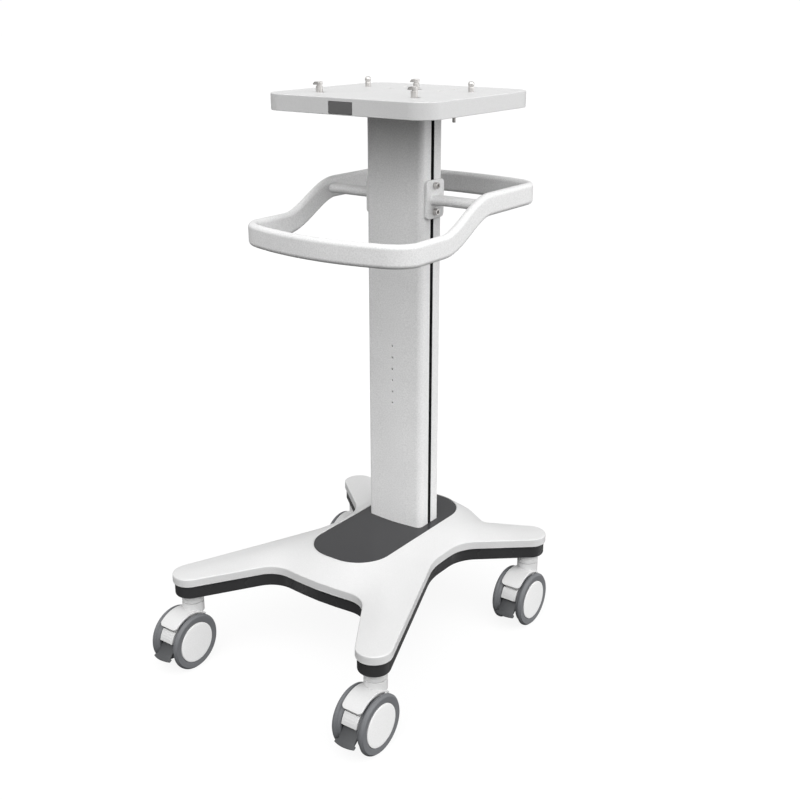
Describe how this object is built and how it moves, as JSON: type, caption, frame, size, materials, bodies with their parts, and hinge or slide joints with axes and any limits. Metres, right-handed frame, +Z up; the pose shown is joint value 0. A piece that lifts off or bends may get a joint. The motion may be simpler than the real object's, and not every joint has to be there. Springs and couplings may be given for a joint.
{
  "type": "ultrasound machine trolley",
  "caption": "Mobile stand for a portable ultrasound machine: latch-pin platform, T-slot column, looped push handle and a four-arm base on braked twin-wheel casters.",
  "frame": {"origin": "floor level, at the centre of the whole stand's footprint", "axes": "+Z up, the stand's front and its release button face -Y, +X to the right seen from the front"},
  "size_m": [0.4214, 0.568, 0.8887],
  "materials": {
    "white_plastic": "satin moulded white plastic",
    "white_coat": "white powder coat on aluminium",
    "dark_frame": "glossy charcoal coat on a cast frame",
    "dark_panel": "glossy dark grey panel",
    "button_grey": "matt dark grey",
    "tyre_grey": "grey non-marking tread",
    "pedal_grey": "matt dark grey nylon",
    "steel": "satin steel"
  },
  "bodies": {
    "stand": {"base_frame": "dark_frame", "base_cover": "white_plastic", "base_panel": "dark_panel", "column_front": "white_coat", "column_back": "white_coat", "platform_tray": "white_plastic", "platform_base_plate": "steel", "latch_spring": "steel", "locating_pin_left": "steel", "locating_pin_right": "steel", "platform_screw_front_left": "steel", "platform_screw_front_right": "steel", "platform_screw_rear_left": "steel", "platform_screw_rear_right": "steel", "handle_loop": "white_coat", "bracket_plate_left": "white_coat", "cross_tube_left": "white_coat", "bracket_screw_lower_left": "steel", "bracket_screw_upper_left": "steel", "bracket_plate_right": "white_coat", "cross_tube_right": "white_coat", "bracket_screw_lower_right": "steel", "bracket_screw_upper_right": "steel", "caster_stem_front_left": "white_plastic", "caster_stem_front_right": "white_plastic", "caster_stem_rear_left": "white_plastic", "caster_stem_rear_right": "white_plastic"},
    "latch": {"latch_slide": "steel", "hook_pin_front_left": "steel", "hook_pin_front_right": "steel", "hook_pin_rear": "steel"},
    "release_button": {"release_button": "button_grey"},
    "caster_front_left": {"caster_fork_front_left": "white_plastic", "caster_axle_front_left": "steel"},
    "brake_front_left": {"brake_pedal_front_left": "pedal_grey"},
    "wheel_left_front_left": {"tyre_left_front_left": "tyre_grey", "wheel_left_front_left": "white_plastic"},
    "wheel_right_front_left": {"tyre_right_front_left": "tyre_grey", "wheel_right_front_left": "white_plastic"},
    "caster_front_right": {"caster_fork_front_right": "white_plastic", "caster_axle_front_right": "steel"},
    "brake_front_right": {"brake_pedal_front_right": "pedal_grey"},
    "wheel_left_front_right": {"tyre_left_front_right": "tyre_grey", "wheel_left_front_right": "white_plastic"},
    "wheel_right_front_right": {"tyre_right_front_right": "tyre_grey", "wheel_right_front_right": "white_plastic"},
    "caster_rear_left": {"caster_fork_rear_left": "white_plastic", "caster_axle_rear_left": "steel"},
    "brake_rear_left": {"brake_pedal_rear_left": "pedal_grey"},
    "wheel_left_rear_left": {"tyre_left_rear_left": "tyre_grey", "wheel_left_rear_left": "white_plastic"},
    "wheel_right_rear_left": {"tyre_right_rear_left": "tyre_grey", "wheel_right_rear_left": "white_plastic"},
    "caster_rear_right": {"caster_fork_rear_right": "white_plastic", "caster_axle_rear_right": "steel"},
    "brake_rear_right": {"brake_pedal_rear_right": "pedal_grey"},
    "wheel_left_rear_right": {"tyre_left_rear_right": "tyre_grey", "wheel_left_rear_right": "white_plastic"},
    "wheel_right_rear_right": {"tyre_right_rear_right": "tyre_grey", "wheel_right_rear_right": "white_plastic"}
  },
  "joints": [
    {"name": "button_press", "type": "slide", "parent": "stand", "child": "release_button", "axis": [0, 1, 0], "range_m": [0, 0.0045]},
    {"name": "latch_travel", "type": "slide", "parent": "stand", "child": "latch", "axis": [1, 0, 0], "range_m": [0, 0.0045], "stiffness_N_per_m": 600, "springref_m": -0.003, "deforming": ["latch_spring"]},
    {"name": "swivel_front_left", "type": "hinge", "parent": "stand", "child": "caster_front_left", "pos_m": [-0.1825, -0.2065, 0.0953], "axis": [0, 0, 1], "continuous": true},
    {"name": "brake_front_left", "type": "hinge", "parent": "caster_front_left", "child": "brake_front_left", "pos_m": [-0.1825, -0.2565, 0.0493], "axis": [1, 0, 0], "range_deg": [-18, 0]},
    {"name": "roll_left_front_left", "type": "hinge", "parent": "caster_front_left", "child": "wheel_left_front_left", "pos_m": [-0.2025, -0.2295, 0.0453], "axis": [1, 0, 0], "continuous": true},
    {"name": "roll_right_front_left", "type": "hinge", "parent": "caster_front_left", "child": "wheel_right_front_left", "pos_m": [-0.1625, -0.2295, 0.0453], "axis": [1, 0, 0], "continuous": true},
    {"name": "swivel_front_right", "type": "hinge", "parent": "stand", "child": "caster_front_right", "pos_m": [0.1825, -0.2065, 0.0953], "axis": [0, 0, 1], "continuous": true},
    {"name": "brake_front_right", "type": "hinge", "parent": "caster_front_right", "child": "brake_front_right", "pos_m": [0.1825, -0.2565, 0.0493], "axis": [1, 0, 0], "range_deg": [-18, 0]},
    {"name": "roll_left_front_right", "type": "hinge", "parent": "caster_front_right", "child": "wheel_left_front_right", "pos_m": [0.1625, -0.2295, 0.0453], "axis": [1, 0, 0], "continuous": true},
    {"name": "roll_right_front_right", "type": "hinge", "parent": "caster_front_right", "child": "wheel_right_front_right", "pos_m": [0.2025, -0.2295, 0.0453], "axis": [1, 0, 0], "continuous": true},
    {"name": "swivel_rear_left", "type": "hinge", "parent": "stand", "child": "caster_rear_left", "pos_m": [-0.1825, 0.2215, 0.0953], "axis": [0, 0, 1], "continuous": true},
    {"name": "brake_rear_left", "type": "hinge", "parent": "caster_rear_left", "child": "brake_rear_left", "pos_m": [-0.1825, 0.1715, 0.0493], "axis": [1, 0, 0], "range_deg": [-18, 0]},
    {"name": "roll_left_rear_left", "type": "hinge", "parent": "caster_rear_left", "child": "wheel_left_rear_left", "pos_m": [-0.2025, 0.1985, 0.0453], "axis": [1, 0, 0], "continuous": true},
    {"name": "roll_right_rear_left", "type": "hinge", "parent": "caster_rear_left", "child": "wheel_right_rear_left", "pos_m": [-0.1625, 0.1985, 0.0453], "axis": [1, 0, 0], "continuous": true},
    {"name": "swivel_rear_right", "type": "hinge", "parent": "stand", "child": "caster_rear_right", "pos_m": [0.1825, 0.2215, 0.0953], "axis": [0, 0, 1], "continuous": true},
    {"name": "brake_rear_right", "type": "hinge", "parent": "caster_rear_right", "child": "brake_rear_right", "pos_m": [0.1825, 0.1715, 0.0493], "axis": [1, 0, 0], "range_deg": [-18, 0]},
    {"name": "roll_left_rear_right", "type": "hinge", "parent": "caster_rear_right", "child": "wheel_left_rear_right", "pos_m": [0.1625, 0.1985, 0.0453], "axis": [1, 0, 0], "continuous": true},
    {"name": "roll_right_rear_right", "type": "hinge", "parent": "caster_rear_right", "child": "wheel_right_rear_right", "pos_m": [0.2025, 0.1985, 0.0453], "axis": [1, 0, 0], "continuous": true}
  ],
  "couplings": [
    {"joint": "latch_travel", "follows": "button_press", "ratio": 1}
  ]
}
